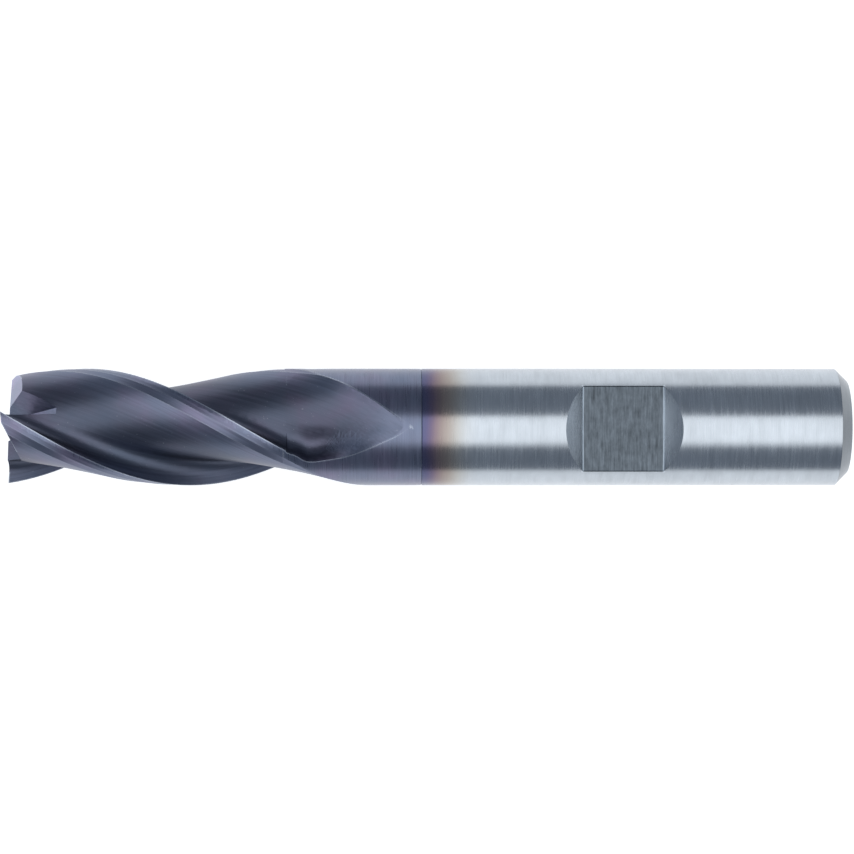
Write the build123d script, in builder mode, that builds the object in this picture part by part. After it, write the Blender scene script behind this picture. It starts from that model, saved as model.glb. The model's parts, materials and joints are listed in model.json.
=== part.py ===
from build123d import *
from math import atan2, cos, degrees, hypot, radians, sin, tan
import os

os.makedirs("parts", exist_ok=True)

# End mill, 10 mm, three flutes, right-hand cut, right-hand helix, plain shank with one side-lock flat.
# Frame: the tool lies along X. The origin is the centre of the shank's end face, the shank points to +X,
# the cutting end to -X, and the side-lock flat faces +Z.

# ---- driving dimensions, in millimetres and degrees ----
TOOL_DIAMETER = 10.0
TOOL_LENGTH = 72.0
FLUTES = 3
HELIX_LEAD = 54.4             # one turn of the flutes, which is a helix angle of 30 degrees
FIRST_CORNER_ANGLE = 17.9     # where the first tooth's corner stands, from +Z towards +Y
CUTTING_SECTION_LENGTH = 35.5

# flute, in the plane square to the axis
RADIAL_RAKE = 12.0
ROOT_RADIUS = 1.25
BACK_RADIUS = 4.68
BACK_CENTRE = (-1.95, 0.13)   # centre of the convex tooth back, seen from the flute's own cutting edge
BACK_END = 97.0               # where that arc has left the tool, round its centre
RAKE_OVERRUN = 0.6            # the rake face's cut goes on past the cutting edge
FLUTE_END = 26.0              # the flute has its full depth up to here, from the tip
RUNOUT_END = 34.55            # and it has run out to nothing here
RUNOUT_HEEL_ANGLE = 94.7
RUNOUT_OVERSIZE = 1.012       # a hair wider than the flute, so that the two cuts cross cleanly
LEAF_BLEND = 0.75             # share of the run-out in which the rake face fades out
LEAF_ROOT = 0.2335            # the root's share of the leaf, which keeps the profile smooth as it fades
LEAF_NARROWING = 0.85         # power that sets how the leaf narrows
LEAF_HOLLOW = 1.3             # how much deeper the leaf is than a flat one
LEAF_TIP_WIDTH = 3.0
LEAF_TIP_LIFT = 0.25          # past its end the cutter rises out of the tool

# land behind each cutting edge
WITNESS_LAND = 0.4            # degrees of plain cylinder left at the cutting edge
PRIMARY_RELIEF = 9.0
PRIMARY_WIDTH = 0.80
SECONDARY_RELIEF = 25.0
HEEL_WIDTH = 1.10
CUTTING_LENGTH = 23.8         # the primary relief is ground up to here
HEEL_FACET_END = 30.3
HEEL_FACET_RISE = 0.42        # the secondary relief has risen by this much where it ends
RELIEF_LEAD_IN = 0.35         # the relief's cut starts this far in front of the land

# end teeth
DISH_ANGLE = 2.0
END_PRIMARY_ANGLE = 7.0
END_PRIMARY_WIDTH = 0.94
END_SECONDARY_ANGLE = 28.0
GASH_CENTRE_DEPTH = 1.11
GASH_FLOOR_ANGLE = 48.4       # of the gash floor, out of the end plane
GASH_FLOOR_WIDTH = 0.86
GASH_WALL_ANGLE = 51.8        # of the wall that rises to the next tooth's back

# shank
FLAT_HEIGHT = 8.45            # from the flat to the far side of the shank
FLAT_LENGTH = 6.9
FLAT_CENTRE = 19.4            # from the shank's end face
FLAT_END_WALL_ANGLE = 45.0
SHANK_CHAMFER = 1.0
SEAM_BREAK = 0.07             # edge break on both sides of the seam behind the flutes
SEAM_RELIEF_LENGTH = 0.55     # the coated section is ground a touch under size next to the seam
SEAM_RELIEF_DEPTH = 0.02
WALL_SPLIT = 0.25             # the shank is ground in two stretches, which meet this far in front of the flat
WALL_STEP = 0.002             # the stretch with the flat is smaller by this much

# ---- sizes that follow ----
RADIUS = TOOL_DIAMETER / 2
TIP_X = -TOOL_LENGTH
SEAM_X = TIP_X + CUTTING_SECTION_LENGTH
TWIST = 360 / HELIX_LEAD
PITCH = 360 / FLUTES
CLEAR_RADIUS = 1.5 * RADIUS   # every cutter reaches out to here
SECTION_STEP = 2.25
OVERRUN = 1.0                 # how far the cutters start in front of the tip
FLUTE_OVERLAP = 0.9           # how far the flute's cut runs on inside the run-out's
RUNOUT_START = FLUTE_END - 2.0
RUNOUT_STEP = 0.6
ROW_POINTS = 9
HEEL_FACET_OVERLAP = 0.4
SECTOR_DEPTH = 9.0


def radial(angle, length=1.0):
    """A vector square to the axis, at an angle from +Z towards +Y."""
    return Vector(0, length * sin(radians(angle)), length * cos(radians(angle)))


def turn(distance):
    """The angle of the first cutting edge, at a distance from the tip."""
    return FIRST_CORNER_ANGLE - TWIST * distance


def cross_section(distance):
    """A plane square to the axis, its x through the first cutting edge, its y into the flute."""
    edge = turn(distance)
    return Plane(origin=(TIP_X + distance, 0, 0), x_dir=radial(edge), z_dir=(-1, 0, 0))


def polar(angle, radius):
    return (radius * cos(radians(angle)), radius * sin(radians(angle)))


def stations(start, end, step=SECTION_STEP):
    """Evenly spaced distances from the tip, close enough to follow the helix."""
    count = max(2, round((end - start) / step))
    return [start + (end - start) * k / count for k in range(count + 1)]


def arc_handles(centre, radius, start, end):
    """The four control points of a cubic curve that follows an arc."""
    reach = 4 / 3 * tan(radians(end - start) / 4) * radius
    first = Vector(*centre) + Vector(*polar(start, radius))
    last = Vector(*centre) + Vector(*polar(end, radius))
    return [first, first + Vector(*polar(start + 90, reach)), last - Vector(*polar(end + 90, reach)), last]


# ---- flute profile: straight rake face, round root, convex back ----
into_tooth = Vector(*polar(180 + RADIAL_RAKE, 1))
into_flute = Vector(*polar(90 + RADIAL_RAKE, 1))
edge_point = Vector(RADIUS, 0)
root_line = edge_point + into_flute * ROOT_RADIUS - Vector(*BACK_CENTRE)
root_reach = BACK_RADIUS + ROOT_RADIUS
along = -root_line.dot(into_tooth)
rake_depth = along - (along**2 - root_line.dot(root_line) + root_reach**2) ** 0.5
root_centre = edge_point + into_flute * ROOT_RADIUS + into_tooth * rake_depth
to_back = Vector(*BACK_CENTRE) - root_centre
root_end = degrees(atan2(to_back.Y, to_back.X)) % 360
BACK_START = root_end - 180
root = arc_handles(root_centre, ROOT_RADIUS, 270 + RADIAL_RAKE, root_end)
back = arc_handles(BACK_CENTRE, BACK_RADIUS, BACK_START, BACK_END)
full_profile = [edge_point - into_tooth * RAKE_OVERRUN] + root + back[1:]

cos_heel = (RADIUS**2 + hypot(*BACK_CENTRE) ** 2 - BACK_RADIUS**2) / (2 * RADIUS * hypot(*BACK_CENTRE))
HEEL_ANGLE = degrees(atan2(BACK_CENTRE[1], BACK_CENTRE[0])) - degrees(atan2((1 - cos_heel**2) ** 0.5, cos_heel))


def leaf_handles(start, end):
    """Control points, as places across the leaf and depths, of the parabola 4 u (1 - u)."""
    def depth(place):
        return 4 * place * (1 - place)

    middle = 2 * (start + end) - 4 * start * end
    third = (end - start) / 3
    return [(start, depth(start)), (start + third, (depth(start) + 2 * middle) / 3),
            (end - third, (2 * middle + depth(end)) / 3), (end, depth(end))]


leaf_profile = [(-0.157, -0.628)] + leaf_handles(0, LEAF_ROOT) + leaf_handles(LEAF_ROOT, 1.05)[1:]
flute_middle = Vector(*polar(50, 4.5))


def runout_profile(progress):
    """Control points of the flute, as it fades from full depth at 0 to nothing at 1."""
    left = max(1 - progress, 0.0)
    blend = min(progress / LEAF_BLEND, 1.0)
    blend = blend * blend * (3 - 2 * blend)
    heel = HEEL_ANGLE + (RUNOUT_HEEL_ANGLE - HEEL_ANGLE) * progress
    width = max(HEEL_ANGLE * left**LEAF_NARROWING, LEAF_TIP_WIDTH)
    leaf_depth = LEAF_HOLLOW * RADIUS * (1 - cos(radians(width / 2)))
    lift = LEAF_TIP_LIFT * max(progress - 1, 0.0)
    points = []
    for point, (leaf_place, leaf_share) in zip(full_profile, leaf_profile):
        point = flute_middle + (point - flute_middle) * RUNOUT_OVERSIZE
        full_place = degrees(atan2(point.Y, point.X)) / HEEL_ANGLE
        full_depth = (RADIUS - hypot(point.X, point.Y)) * (1 - min(progress, 1.0) ** 2) ** 2
        depth = (1 - blend) * full_depth + blend * leaf_depth * leaf_share
        place = (1 - blend) * full_place + blend * leaf_place
        points.append(polar(heel - width * (1 - place), RADIUS - depth + lift))
    return points


def flute_section(distance):
    """The flute and the space outside it, in the plane square to the axis."""
    points = full_profile
    first = degrees(atan2(points[0].Y, points[0].X))
    last = degrees(atan2(points[-1].Y, points[-1].X))
    with BuildSketch(cross_section(distance)) as section:
        with BuildLine():
            Line(points[0], points[1])
            Bezier(*points[1:5])
            Bezier(*points[4:8])
            Polyline(points[-1], polar(last, CLEAR_RADIUS), polar((first + last) / 2, CLEAR_RADIUS),
                     polar(first, CLEAR_RADIUS), points[0])
        make_face()
    return section.sketch


def runout_row(distance):
    """Points across the flute's surface, from outside its rake face to outside its heel."""
    points = runout_profile(max(distance - FLUTE_END, 0.0) / (RUNOUT_END - FLUTE_END))
    rake_face = Line(points[0], points[1])
    root_curve = Bezier(*points[1:5])
    back_curve = Bezier(*points[4:8])
    row = [rake_face @ (k / 3) for k in range(3)]
    row += [root_curve @ (k / ROW_POINTS) for k in range(ROW_POINTS)]
    row += [back_curve @ (k / ROW_POINTS) for k in range(ROW_POINTS + 1)]
    return [cross_section(distance).from_local_coords(point) for point in row]


runout_way_out = radial(turn(RUNOUT_START) + 0.4 * HEEL_ANGLE)

with BuildPart() as flute_cutter:
    loft(sections=[flute_section(station) for station in stations(-OVERRUN, RUNOUT_START + FLUTE_OVERLAP)])

runout_rows = [runout_row(station) for station in stations(RUNOUT_START, RUNOUT_END + 0.4, RUNOUT_STEP)]
runout_surface = Face.make_surface_from_array_of_points(runout_rows, tol=0.01, max_deg=5)
with BuildPart() as runout_cutter:
    extrude(to_extrude=runout_surface, amount=TOOL_DIAMETER, dir=runout_way_out)


# ---- land: primary and secondary relief behind each cutting edge ----
def relief_line(start, relief, length):
    """A point further round the land from start, where the land falls away at a relief angle."""
    return start + Vector(*polar(270 - relief, length))


def relief_section(distance, first_point, relief_points):
    """The space outside the land: from a point, along the relief and back far outside the tool."""
    last = degrees(atan2(relief_points[-1].Y, relief_points[-1].X))
    first = degrees(atan2(first_point.Y, first_point.X))
    with BuildSketch(cross_section(distance)) as section:
        with BuildLine():
            Polyline(first_point, *relief_points, polar(last, CLEAR_RADIUS),
                     polar((first + last) / 2, CLEAR_RADIUS), polar(first + 4, CLEAR_RADIUS), first_point)
        make_face()
    return section.sketch


land_start = Vector(*polar(-WITNESS_LAND, RADIUS))
relief_lead_in = relief_line(land_start, PRIMARY_RELIEF, -RELIEF_LEAD_IN)
primary_end = relief_line(land_start, PRIMARY_RELIEF, PRIMARY_WIDTH)
secondary_end = relief_line(primary_end, SECONDARY_RELIEF, HEEL_WIDTH)

with BuildPart() as relief_cutter:
    loft(sections=[relief_section(station, relief_lead_in, [primary_end, secondary_end])
                   for station in stations(-OVERRUN, CUTTING_LENGTH)])


def heel_facet_section(distance):
    """The secondary relief goes on past the cutting edge, and fades out towards the heel."""
    progress = (distance - CUTTING_LENGTH) / (HEEL_FACET_END - CUTTING_LENGTH)
    raised = Vector(*polar(-SECONDARY_RELIEF, HEEL_FACET_RISE * max(progress, 0.0) ** 1.5))
    lead_in = relief_line(primary_end, SECONDARY_RELIEF, -HEEL_WIDTH)
    return relief_section(distance, lead_in + raised, [secondary_end + raised])


with BuildPart() as heel_facet_cutter:
    loft(sections=[heel_facet_section(station) for station in stations(CUTTING_LENGTH - HEEL_FACET_OVERLAP, HEEL_FACET_END)])


# ---- end teeth: the sector between one tooth's face and the next tooth's edge ----
tip = cross_section(0)
end_start = cross_section(-OVERRUN)
own = tip.x_dir                         # along the first tooth's edge
ahead = tip.y_dir                       # square to it, into the gash
deeper = Vector(1, 0, 0)
next_edge = radial(FIRST_CORNER_ANGLE + PITCH)
next_back = radial(FIRST_CORNER_ANGLE + PITCH - 90)


def plane_through(point, first, second):
    """A plane through a point and along two directions, its normal on the tip's side."""
    normal = first.cross(second)
    if normal.X > 0:
        normal = -normal
    return Plane(origin=point, x_dir=first, z_dir=normal)


def slope(direction, angle):
    """A direction square to the axis, tilted away from the tip by an angle."""
    return direction * cos(radians(angle)) + deeper * sin(radians(angle))


def sector_in_front_of(*planes):
    """The part of the sector that lies on the tip's side of every plane."""
    with BuildPart() as sector:
        with BuildSketch(end_start):
            with BuildLine():
                Polyline((0, 0), polar(0, 2 * CLEAR_RADIUS), polar(PITCH / 2, 2 * CLEAR_RADIUS),
                         polar(PITCH, 2 * CLEAR_RADIUS), (0, 0))
            make_face()
        extrude(amount=-SECTOR_DEPTH)
        for plane in planes:
            split(bisect_by=plane, keep=Keep.TOP)
    return sector.part


corner = tip.origin + next_edge * RADIUS
dish = slope(-next_edge, DISH_ANGLE)
primary_plane = plane_through(corner, dish, slope(next_back, END_PRIMARY_ANGLE))
primary_back = corner + slope(next_back, END_PRIMARY_ANGLE) * (END_PRIMARY_WIDTH / cos(radians(END_PRIMARY_ANGLE)))
secondary_plane = plane_through(primary_back, dish, slope(next_back, END_SECONDARY_ANGLE))
gash_line = slope(own, GASH_FLOOR_ANGLE)
gash_bottom = tip.origin + deeper * GASH_CENTRE_DEPTH
gash_floor = plane_through(gash_bottom, gash_line, ahead)
gash_wall = plane_through(gash_bottom + ahead * GASH_FLOOR_WIDTH, gash_line, slope(ahead, -GASH_WALL_ANGLE))

with BuildPart() as end_cutter:
    add(sector_in_front_of(primary_plane))
    add(sector_in_front_of(secondary_plane))
    add(sector_in_front_of(gash_floor, gash_wall))

# ---- cutting section ----
with BuildPart() as cutting_section:
    with BuildSketch(Plane.XZ):
        with BuildLine():
            Polyline((TIP_X, 0), (TIP_X, RADIUS), (SEAM_X - SEAM_RELIEF_LENGTH, RADIUS),
                     (SEAM_X - SEAM_BREAK, RADIUS - SEAM_RELIEF_DEPTH), (SEAM_X, RADIUS - SEAM_BREAK),
                     (SEAM_X, 0), close=True)
        make_face()
    revolve(axis=Axis.X)
    for tooth in range(FLUTES):
        around = -tooth * PITCH
        add(flute_cutter.part.rotate(Axis.X, around), mode=Mode.SUBTRACT)
        add(runout_cutter.part.rotate(Axis.X, around), mode=Mode.SUBTRACT)
        add(relief_cutter.part.rotate(Axis.X, around), mode=Mode.SUBTRACT)
        add(heel_facet_cutter.part.rotate(Axis.X, around), mode=Mode.SUBTRACT)
        add(end_cutter.part.rotate(Axis.X, around), mode=Mode.SUBTRACT)

cutting_section.part.label = "cutting_section"
export_step(cutting_section.part, "parts/cutting_section.step")

# ---- shank, with the side-lock flat and the end chamfer ----
flat_depth = TOOL_DIAMETER - FLAT_HEIGHT
wall_run = flat_depth / tan(radians(FLAT_END_WALL_ANGLE))
split_x = -FLAT_CENTRE - FLAT_LENGTH / 2 - wall_run - WALL_SPLIT

with BuildPart() as shank:
    with BuildSketch(Plane.XZ):
        with BuildLine():
            Polyline((SEAM_X, 0), (SEAM_X, RADIUS - SEAM_BREAK), (SEAM_X + SEAM_BREAK, RADIUS),
                     (split_x, RADIUS), (split_x, 0), close=True)
        make_face()
    revolve(axis=Axis.X)
    with BuildSketch(Plane.XZ):
        with BuildLine():
            Polyline((split_x, 0), (split_x, RADIUS - WALL_STEP), (-SHANK_CHAMFER, RADIUS - WALL_STEP),
                     (0, RADIUS - SHANK_CHAMFER), (0, 0), close=True)
        make_face()
    revolve(axis=Axis.X)
    with BuildSketch(Plane.XZ.offset(-TOOL_DIAMETER)):
        with BuildLine():
            Polyline((-FLAT_CENTRE - FLAT_LENGTH / 2, RADIUS - flat_depth),
                     (-FLAT_CENTRE + FLAT_LENGTH / 2, RADIUS - flat_depth),
                     (-FLAT_CENTRE + FLAT_LENGTH / 2 + 2 * wall_run, RADIUS + flat_depth),
                     (-FLAT_CENTRE - FLAT_LENGTH / 2 - 2 * wall_run, RADIUS + flat_depth), close=True)
        make_face()
    extrude(amount=2 * TOOL_DIAMETER, mode=Mode.SUBTRACT)

shank.part.label = "shank"
export_step(shank.part, "parts/shank.step")

for piece in (cutting_section.part, shank.part):
    print(piece.label, round(piece.volume, 1), piece.is_valid, piece.bounding_box())
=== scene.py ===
import json
import math

import bpy
from mathutils import Matrix, Vector


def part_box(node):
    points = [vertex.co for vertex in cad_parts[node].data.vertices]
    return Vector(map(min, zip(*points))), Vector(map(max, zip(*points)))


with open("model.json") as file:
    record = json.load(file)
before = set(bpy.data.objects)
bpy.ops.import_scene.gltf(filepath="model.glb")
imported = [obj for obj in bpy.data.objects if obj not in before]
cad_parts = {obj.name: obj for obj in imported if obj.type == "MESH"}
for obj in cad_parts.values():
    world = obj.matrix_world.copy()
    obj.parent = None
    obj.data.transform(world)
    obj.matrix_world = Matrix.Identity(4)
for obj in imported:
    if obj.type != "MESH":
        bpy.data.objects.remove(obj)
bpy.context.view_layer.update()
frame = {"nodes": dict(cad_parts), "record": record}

# ---- places, in metres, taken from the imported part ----
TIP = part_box("cutting_section")[0][0]
shank_low, shank_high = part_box("shank")
SEAM = shank_low[0]
END = shank_high[0]
R = shank_high[1]
MIDDLE = Vector(((TIP + END) / 2, 0, 0))
flat_mount = next(m for m in frame["record"]["mounts"] if m["name"] == "drive_flat")
FLAT_X, FLAT_Z = flat_mount["pos_m"][0], flat_mount["pos_m"][2]

# ---- sizes that the record doesn't state, in metres ----
FLAT_HALF = 0.00345           # half the side-lock flat's length
CHAMFER = 0.00099             # a hair less than the shank's end chamfer
HELIX_LEAD = 0.0544           # one turn of the flutes
WALL_TOLERANCE = 0.00004      # a point this little inside R still counts as the round wall
FLAT_TOLERANCE = 0.00003      # and this little above or below the flat as the flat
FLAT_HIGHLIGHT_HALF = 0.00009      # half the width of the painted highlight line along the flat's inner edges
FLAT_HIGHLIGHT_BELOW = 0.0001      # how far the line reaches below and above the flat
FLAT_HIGHLIGHT_ABOVE = 0.0002
FRINGE_START = -0.0001        # the fringe's places are measured from the seam, along the shank
FRINGE_END = 0.0042
FRINGE_FADE_START = 0.0022    # where the fringe begins to give way to bare steel
FRINGE_FADE_END = 0.0050
FRINGE_WANDER = 0.0002
EDGE_HIGHLIGHT_WIDTH = 0.00016          # the painted highlight line on the cutting edges
EDGE_HIGHLIGHT_DEPTH = 0.0009           # only edges this close to the outside get the painted highlight
EDGE_HIGHLIGHT_SEAM_GAP = 0.0007        # and none this close to the seam
PAINTED_SHADE_DEPTH = 0.0016     # the painted shade in the flutes is darkest from this far inside the outside
PAINTED_HIGHLIGHT_DEPTH = 0.0002    # and the painted highlight on the lands is brightest from here outward
BUMP_DEPTH = 0.00002
FLOOR_Z = -0.030              # far enough below the tool that the floor shows no hard shadow
FLOOR_SIZE = 3.0

# ---- finishes ----
FRINGE = [                    # behind the coating: violet, brown and gold, then bare steel
    (0.00, (0.090, 0.105, 0.185)), (0.12, (0.110, 0.105, 0.190)), (0.22, (0.150, 0.120, 0.180)),
    (0.31, (0.215, 0.165, 0.190)), (0.42, (0.270, 0.220, 0.210)), (0.55, (0.330, 0.290, 0.265)),
    (0.75, (0.400, 0.385, 0.355)), (1.00, (0.455, 0.460, 0.450))]
COATING = [(0.0, (0.112, 0.133, 0.186)), (0.5, (0.124, 0.137, 0.190)), (1.0, (0.142, 0.135, 0.196))]
SPECK_COLOUR = (0.42, 0.44, 0.50)
# painted highlight along the cutting edges: its colour and how much of it is mixed in
EDGE_HIGHLIGHT_COLOUR = (0.50, 0.55, 0.63)
EDGE_HIGHLIGHT_SHARE = 0.8
SPECK_SHARE = 0.35
# gains on the coating's colour: painted shade deep in the flutes, painted highlight on the lands
FLUTE_PAINTED_SHADE = 0.74
LAND_PAINTED_HIGHLIGHT = 1.34
# painted highlight on the facets that face the tip
TIP_FACET_HIGHLIGHT_GAIN = 1.3
COATED_ROUGHNESS = 0.39
STEEL_ROUGHNESS = 0.24
STEEL_VALUE = 0.50
FLAT_VALUE = 0.135
# how much the painted highlight along the flat's inner edges lightens it
FLAT_EDGE_HIGHLIGHT_GAIN = 0.22
CHAMFER_DARKENING = 0.48
STEEL_BLUE = 0.075            # how far blue is raised and red lowered, and as much again on the flat
FLOOR_COLOUR = (0.85, 0.85, 0.85)
FLOOR_GLOW = 0.60
WORLD_COLOUR = (0.66, 0.76, 0.92, 1)
WORLD_STRENGTH = 0.30
LIGHT_HEIGHT = 0.60           # above the tool's axis

# ---- camera ----
DISTANCE = 0.257
LENS = 126.2
YAW = math.radians(1.0)               # the shank's end is a little further away than the tip
ROUND_TOOL = math.radians(2.5)        # the camera stands this far round the tool, from +Z towards +Y


class Tree:
    """One material's node tree, and short ways to add nodes to it. A value is a number or a node's output."""

    def __init__(self, name):
        self.material = bpy.data.materials.new(name)
        self.material.use_nodes = True
        self.nodes = self.material.node_tree.nodes
        self.links = self.material.node_tree.links
        self.nodes.clear()

    def add(self, kind, **settings):
        node = self.nodes.new(kind)
        for name, setting in settings.items():
            setattr(node, name, setting)
        return node

    def put(self, socket, value):
        if hasattr(value, "is_output"):
            self.links.new(value, socket)
        else:
            socket.default_value = value

    def math(self, operation, first, second=0.0):
        node = self.add("ShaderNodeMath", operation=operation)
        self.put(node.inputs[0], first)
        self.put(node.inputs[1], second)
        return node.outputs[0]

    def sum(self, first, *others):
        for other in others:
            first = self.math("ADD", first, other)
        return first

    def product(self, first, *others):
        for other in others:
            first = self.math("MULTIPLY", first, other)
        return first

    def difference(self, first, second):
        return self.math("SUBTRACT", first, second)

    def distance(self, first, second):
        return self.math("ABSOLUTE", self.difference(first, second))

    def below(self, value, limit):
        return self.math("LESS_THAN", value, limit)

    def above(self, value, limit):
        return self.math("GREATER_THAN", value, limit)

    def span(self, value, low, high, out_low=0.0, out_high=1.0, smooth=False):
        """The value's place between low and high, as a place between out_low and out_high."""
        node = self.add("ShaderNodeMapRange", clamp=True)
        node.interpolation_type = "SMOOTHSTEP" if smooth else "LINEAR"
        for socket, item in zip(node.inputs, (value, low, high, out_low, out_high)):
            self.put(socket, item)
        return node.outputs[0]

    def swing(self, noise, low, high):
        """The middle of a noise's range, spread from low to high."""
        return self.span(noise, 0.3, 0.7, low, high)

    def ramp(self, value, stops):
        node = self.add("ShaderNodeValToRGB")
        elements = node.color_ramp.elements
        while len(elements) > 1:
            elements.remove(elements[-1])
        elements[0].position = stops[0][0]
        elements[0].color = (*stops[0][1], 1)
        for position, colour in stops[1:]:
            elements.new(position).color = (*colour, 1)
        self.put(node.inputs[0], value)
        return node.outputs[0]

    def vector(self, x, y, z):
        node = self.add("ShaderNodeCombineXYZ")
        for socket, item in zip(node.inputs, (x, y, z)):
            self.put(socket, item)
        return node.outputs[0]

    def noise(self, vector, scale, detail, roughness):
        node = self.add("ShaderNodeTexNoise")
        self.put(node.inputs["Vector"], vector)
        node.inputs["Scale"].default_value = scale
        node.inputs["Detail"].default_value = detail
        node.inputs["Roughness"].default_value = roughness
        return node.outputs[0]

    def stretched_noise(self, place, scales, detail, roughness):
        """Noise with its own scale along each of three directions, for grinding marks."""
        return self.noise(self.vector(*map(self.product, place, scales)), 1.0, detail, roughness)

    def mix(self, factor, first, second, blend="MIX"):
        node = self.add("ShaderNodeMix", data_type="RGBA", blend_type=blend)
        self.put(node.inputs[0], factor)
        for socket, item in ((node.inputs[6], first), (node.inputs[7], second)):
            self.put(socket, (*item, 1) if isinstance(item, tuple) else item)
        return node.outputs[2]

    def bump(self, height, strength, base):
        node = self.add("ShaderNodeBump")
        node.inputs["Strength"].default_value = strength
        node.inputs["Distance"].default_value = BUMP_DEPTH
        self.put(node.inputs["Height"], height)
        self.put(node.inputs["Normal"], base)
        return node.outputs[0]

    def finish(self, colour, roughness, metallic=1.0, normal=None, glow=0.0):
        shader = self.add("ShaderNodeBsdfPrincipled")
        self.put(shader.inputs["Base Color"], (*colour, 1) if isinstance(colour, tuple) else colour)
        self.put(shader.inputs["Roughness"], roughness)
        shader.inputs["Metallic"].default_value = metallic
        shader.inputs["Emission Color"].default_value = (1, 1, 1, 1)
        shader.inputs["Emission Strength"].default_value = glow
        if normal is not None:
            self.put(shader.inputs["Normal"], normal)
        output = self.add("ShaderNodeOutputMaterial")
        self.links.new(shader.outputs[0], output.inputs[0])
        return self.material


def place_on_tool(tree):
    """The place as a vector and as x, y and z, the direction round the tool, and the distance from its axis."""
    place = tree.add("ShaderNodeTexCoord").outputs["Object"]
    split = tree.add("ShaderNodeSeparateXYZ")
    tree.put(split.inputs[0], place)
    x, y, z = split.outputs
    radius = tree.math("MAXIMUM", tree.math("SQRT", tree.sum(tree.product(y, y), tree.product(z, z))), 1e-5)
    return place, x, y, z, tree.math("DIVIDE", y, radius), tree.math("DIVIDE", z, radius), radius


def round_normal(tree, round_y, round_z, radius):
    """The exact normal on the round wall and the mesh's own elsewhere, and a mask that is 1 on that wall."""
    wall = tree.above(radius, R - WALL_TOLERANCE)
    own = tree.add("ShaderNodeNewGeometry").outputs["Normal"]
    return tree.mix(wall, own, tree.vector(0.0, round_y, round_z)), wall


def edge_mask(tree, width, low, high):
    """1 where the surface turns sharply within a small width, for the painted highlight along the cutting
    edges.
    """
    own = tree.add("ShaderNodeNewGeometry").outputs["Normal"]
    soft = tree.add("ShaderNodeBevel", samples=4)
    soft.inputs["Radius"].default_value = width
    dot = tree.add("ShaderNodeVectorMath", operation="DOT_PRODUCT")
    tree.put(dot.inputs[0], own)
    tree.put(dot.inputs[1], soft.outputs[0])
    return tree.span(dot.outputs["Value"], low, high, 1.0, 0.0)


def ground_steel():
    """Bare shank: circular grinding marks, a darker and rougher flat, and the fringe behind the coating."""
    t = Tree("ground_steel")
    _, x, y, z, round_y, round_z, radius = place_on_tool(t)
    around = (x, round_y, round_z)
    streaks = t.stretched_noise(around, (9000.0, 1.6, 1.6), 3.0, 0.6)
    broad = t.stretched_noise(around, (1500.0, 2.2, 2.2), 2.0, 0.5)
    cloud = t.stretched_noise(around, (160.0, 1.4, 1.4), 3.0, 0.55)
    marks = t.stretched_noise((x, y, 0.0), (7000.0, 500.0, 1.0), 3.0, 0.6)
    mottle = t.stretched_noise((x, y, 0.0), (1900.0, 900.0, 1.0), 4.0, 0.65)

    from_flat_middle = t.distance(x, FLAT_X)
    on_flat = t.product(t.below(t.distance(z, FLAT_Z), FLAT_TOLERANCE), t.below(from_flat_middle, FLAT_HALF))
    wall_value = t.sum(STEEL_VALUE, t.swing(streaks, -0.035, 0.035), t.swing(broad, -0.025, 0.025),
                       t.swing(cloud, -0.03, 0.03))
    flat_value = t.sum(FLAT_VALUE, t.swing(marks, -0.035, 0.035), t.swing(mottle, -0.035, 0.035))
    value = t.sum(t.product(wall_value, t.difference(1.0, on_flat)), t.product(flat_value, on_flat))

    # a painted highlight line along the two inner edges of the flat, and a darker end chamfer
    inner_edge_highlight = t.product(t.below(t.distance(from_flat_middle, FLAT_HALF), FLAT_HIGHLIGHT_HALF),
                           t.below(z, FLAT_Z + FLAT_HIGHLIGHT_ABOVE), t.above(z, FLAT_Z - FLAT_HIGHLIGHT_BELOW))
    value = t.sum(value, t.product(inner_edge_highlight, FLAT_EDGE_HIGHLIGHT_GAIN))
    on_chamfer = t.above(x, END - CHAMFER)
    value = t.product(value, t.difference(1.0, t.product(on_chamfer, CHAMFER_DARKENING)))
    blue = t.sum(STEEL_BLUE, t.product(on_flat, STEEL_BLUE))
    grey = t.vector(t.product(value, t.difference(1.0, blue)), value, t.product(value, t.sum(1.0, blue)))

    along = t.sum(t.difference(x, SEAM), t.span(cloud, 0.2, 0.8, -FRINGE_WANDER, FRINGE_WANDER))
    fringe = t.ramp(t.span(along, FRINGE_START, FRINGE_END), FRINGE)
    colour = t.mix(t.span(along, FRINGE_FADE_START, FRINGE_FADE_END, smooth=True), fringe, grey)
    roughness = t.sum(STEEL_ROUGHNESS, t.swing(streaks, -0.03, 0.05), t.product(on_flat, 0.2))
    base, _ = round_normal(t, round_y, round_z, radius)
    height = t.sum(t.product(streaks, 0.6), t.product(broad, 0.4))
    return t.finish(colour, roughness, normal=t.bump(height, 0.05, base))


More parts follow.
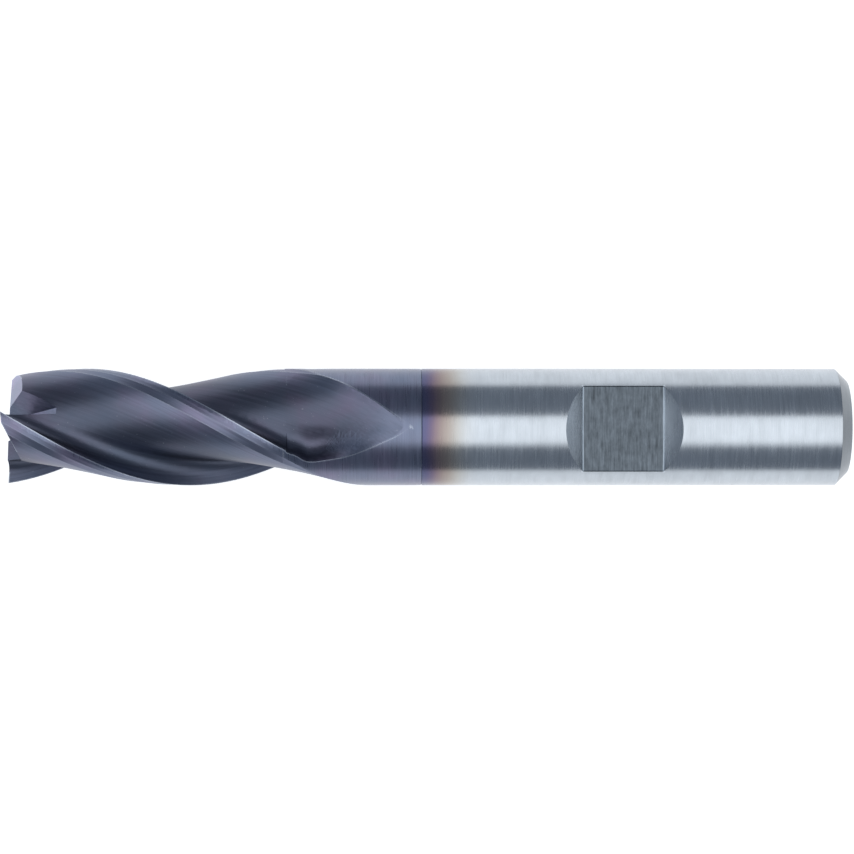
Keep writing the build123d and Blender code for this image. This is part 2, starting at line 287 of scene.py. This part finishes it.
def coated_steel():
    """Coated front: grinding lines along the helix in the flutes and round the tool on the neck."""
    t = Tree("coated_steel")
    place, x, y, z, round_y, round_z, radius = place_on_tool(t)
    # turned back by the helix's twist, the flutes run straight along x
    angle = t.product(x, 2 * math.pi / HELIX_LEAD)
    cosine, sine = t.math("COSINE", angle), t.math("SINE", angle)
    straight_y = t.sum(t.product(y, cosine), t.product(z, sine))
    straight_z = t.difference(t.product(z, cosine), t.product(y, sine))
    flute_lines = t.stretched_noise((x, straight_y, straight_z), (120.0, 5200.0, 5200.0), 3.0, 0.6)
    round_lines = t.stretched_noise((x, round_y, round_z), (8000.0, 1.6, 1.6), 3.0, 0.6)
    cloud = t.noise(place, 260.0, 3.0, 0.55)
    speck = t.noise(place, 5200.0, 1.0, 0.5)
    base, on_wall = round_normal(t, round_y, round_z, radius)
    grain = t.mix(on_wall, t.vector(flute_lines, flute_lines, flute_lines),
                  t.vector(round_lines, round_lines, round_lines))

    # painted shade deep in the flutes, painted highlight on the lands and on the facets that face the tip
    facing = t.add("ShaderNodeSeparateXYZ")
    t.put(facing.inputs[0], t.add("ShaderNodeNewGeometry").outputs["True Normal"])
    tip_facet_highlight = t.span(t.product(facing.outputs[0], -1.0), 0.35, 0.6)
    painted_depth_light = t.span(radius, R - PAINTED_SHADE_DEPTH, R - PAINTED_HIGHLIGHT_DEPTH, FLUTE_PAINTED_SHADE, LAND_PAINTED_HIGHLIGHT, smooth=True)
    grain_and_painted_light = t.product(t.swing(grain, 0.86, 1.14), t.sum(painted_depth_light, t.product(tip_facet_highlight, TIP_FACET_HIGHLIGHT_GAIN)))
    tint = t.ramp(t.swing(cloud, 0.0, 1.0), COATING)
    colour = t.mix(1.0, tint, t.vector(grain_and_painted_light, grain_and_painted_light, grain_and_painted_light), blend="MULTIPLY")
    colour = t.mix(t.product(t.span(speck, 0.74, 0.80), SPECK_SHARE), colour, SPECK_COLOUR)
    # painted highlight along the sharp edges near the outside, clear of the seam
    edge_highlight = t.product(edge_mask(t, EDGE_HIGHLIGHT_WIDTH, 0.955, 0.998), t.above(radius, R - EDGE_HIGHLIGHT_DEPTH),
                      t.below(x, SEAM - EDGE_HIGHLIGHT_SEAM_GAP))
    colour = t.mix(t.product(edge_highlight, EDGE_HIGHLIGHT_SHARE), colour, EDGE_HIGHLIGHT_COLOUR)
    roughness = t.sum(t.difference(COATED_ROUGHNESS, t.product(on_wall, 0.10)), t.swing(grain, -0.03, 0.05))
    return t.finish(colour, roughness, normal=t.bump(grain, 0.10, base))


for node, material in (("shank", ground_steel()), ("cutting_section", coated_steel())):
    for slot in frame["nodes"][node].material_slots:
        slot.material = material

# ---- floor ----
bpy.ops.mesh.primitive_plane_add(size=FLOOR_SIZE, location=(MIDDLE.x, 0, FLOOR_Z))
floor = bpy.context.object
floor.name = "floor"
floor.data.materials.append(Tree("floor_white").finish(FLOOR_COLOUR, 0.9, metallic=0.0, glow=FLOOR_GLOW))


def link(name, data):
    made = bpy.data.objects.new(name, data)
    bpy.context.scene.collection.objects.link(made)
    return made


# ---- camera, level with the tool and looking at its middle ----
out = Vector((-math.sin(YAW), math.cos(YAW) * math.sin(ROUND_TOOL), math.cos(YAW) * math.cos(ROUND_TOOL)))
right = Vector((0, math.cos(ROUND_TOOL), -math.sin(ROUND_TOOL))).cross(out).normalized()
up = out.cross(right).normalized()
camera = link("camera", bpy.data.cameras.new("camera"))
turn = Matrix((right, up, out)).transposed().to_4x4()
camera.matrix_world = Matrix.Translation(MIDDLE + out * DISTANCE) @ turn
camera.data.sensor_width = 36
camera.data.lens = LENS
camera.data.clip_start = 0.01
camera.data.clip_end = 10
bpy.context.scene.camera = camera


# ---- light: one wide soft box overhead, whose lower side fades out ----
def overhead_light(name, shift, size, power):
    """A soft box above the tool, facing straight down and shifted along Y."""
    lamp = link(name, bpy.data.lights.new(name, "AREA"))
    lamp.data.shape = "RECTANGLE"
    lamp.data.size, lamp.data.size_y = size
    lamp.data.energy = power
    lamp.location = (MIDDLE.x, shift, LIGHT_HEIGHT)
    lamp.rotation_euler = Vector((0, 0, -LIGHT_HEIGHT)).to_track_quat("-Z", "Y").to_euler()


overhead_light("overhead", -0.035, (1.1, 0.60), 2.75)
overhead_light("lower_fade", -0.39, (1.1, 0.11), 0.24)

world = bpy.data.worlds.new("studio")
bpy.context.scene.world = world
world.use_nodes = True
background = world.node_tree.nodes["Background"]
background.inputs[0].default_value = WORLD_COLOUR
background.inputs[1].default_value = WORLD_STRENGTH
bpy.context.scene.view_settings.view_transform = "Standard"
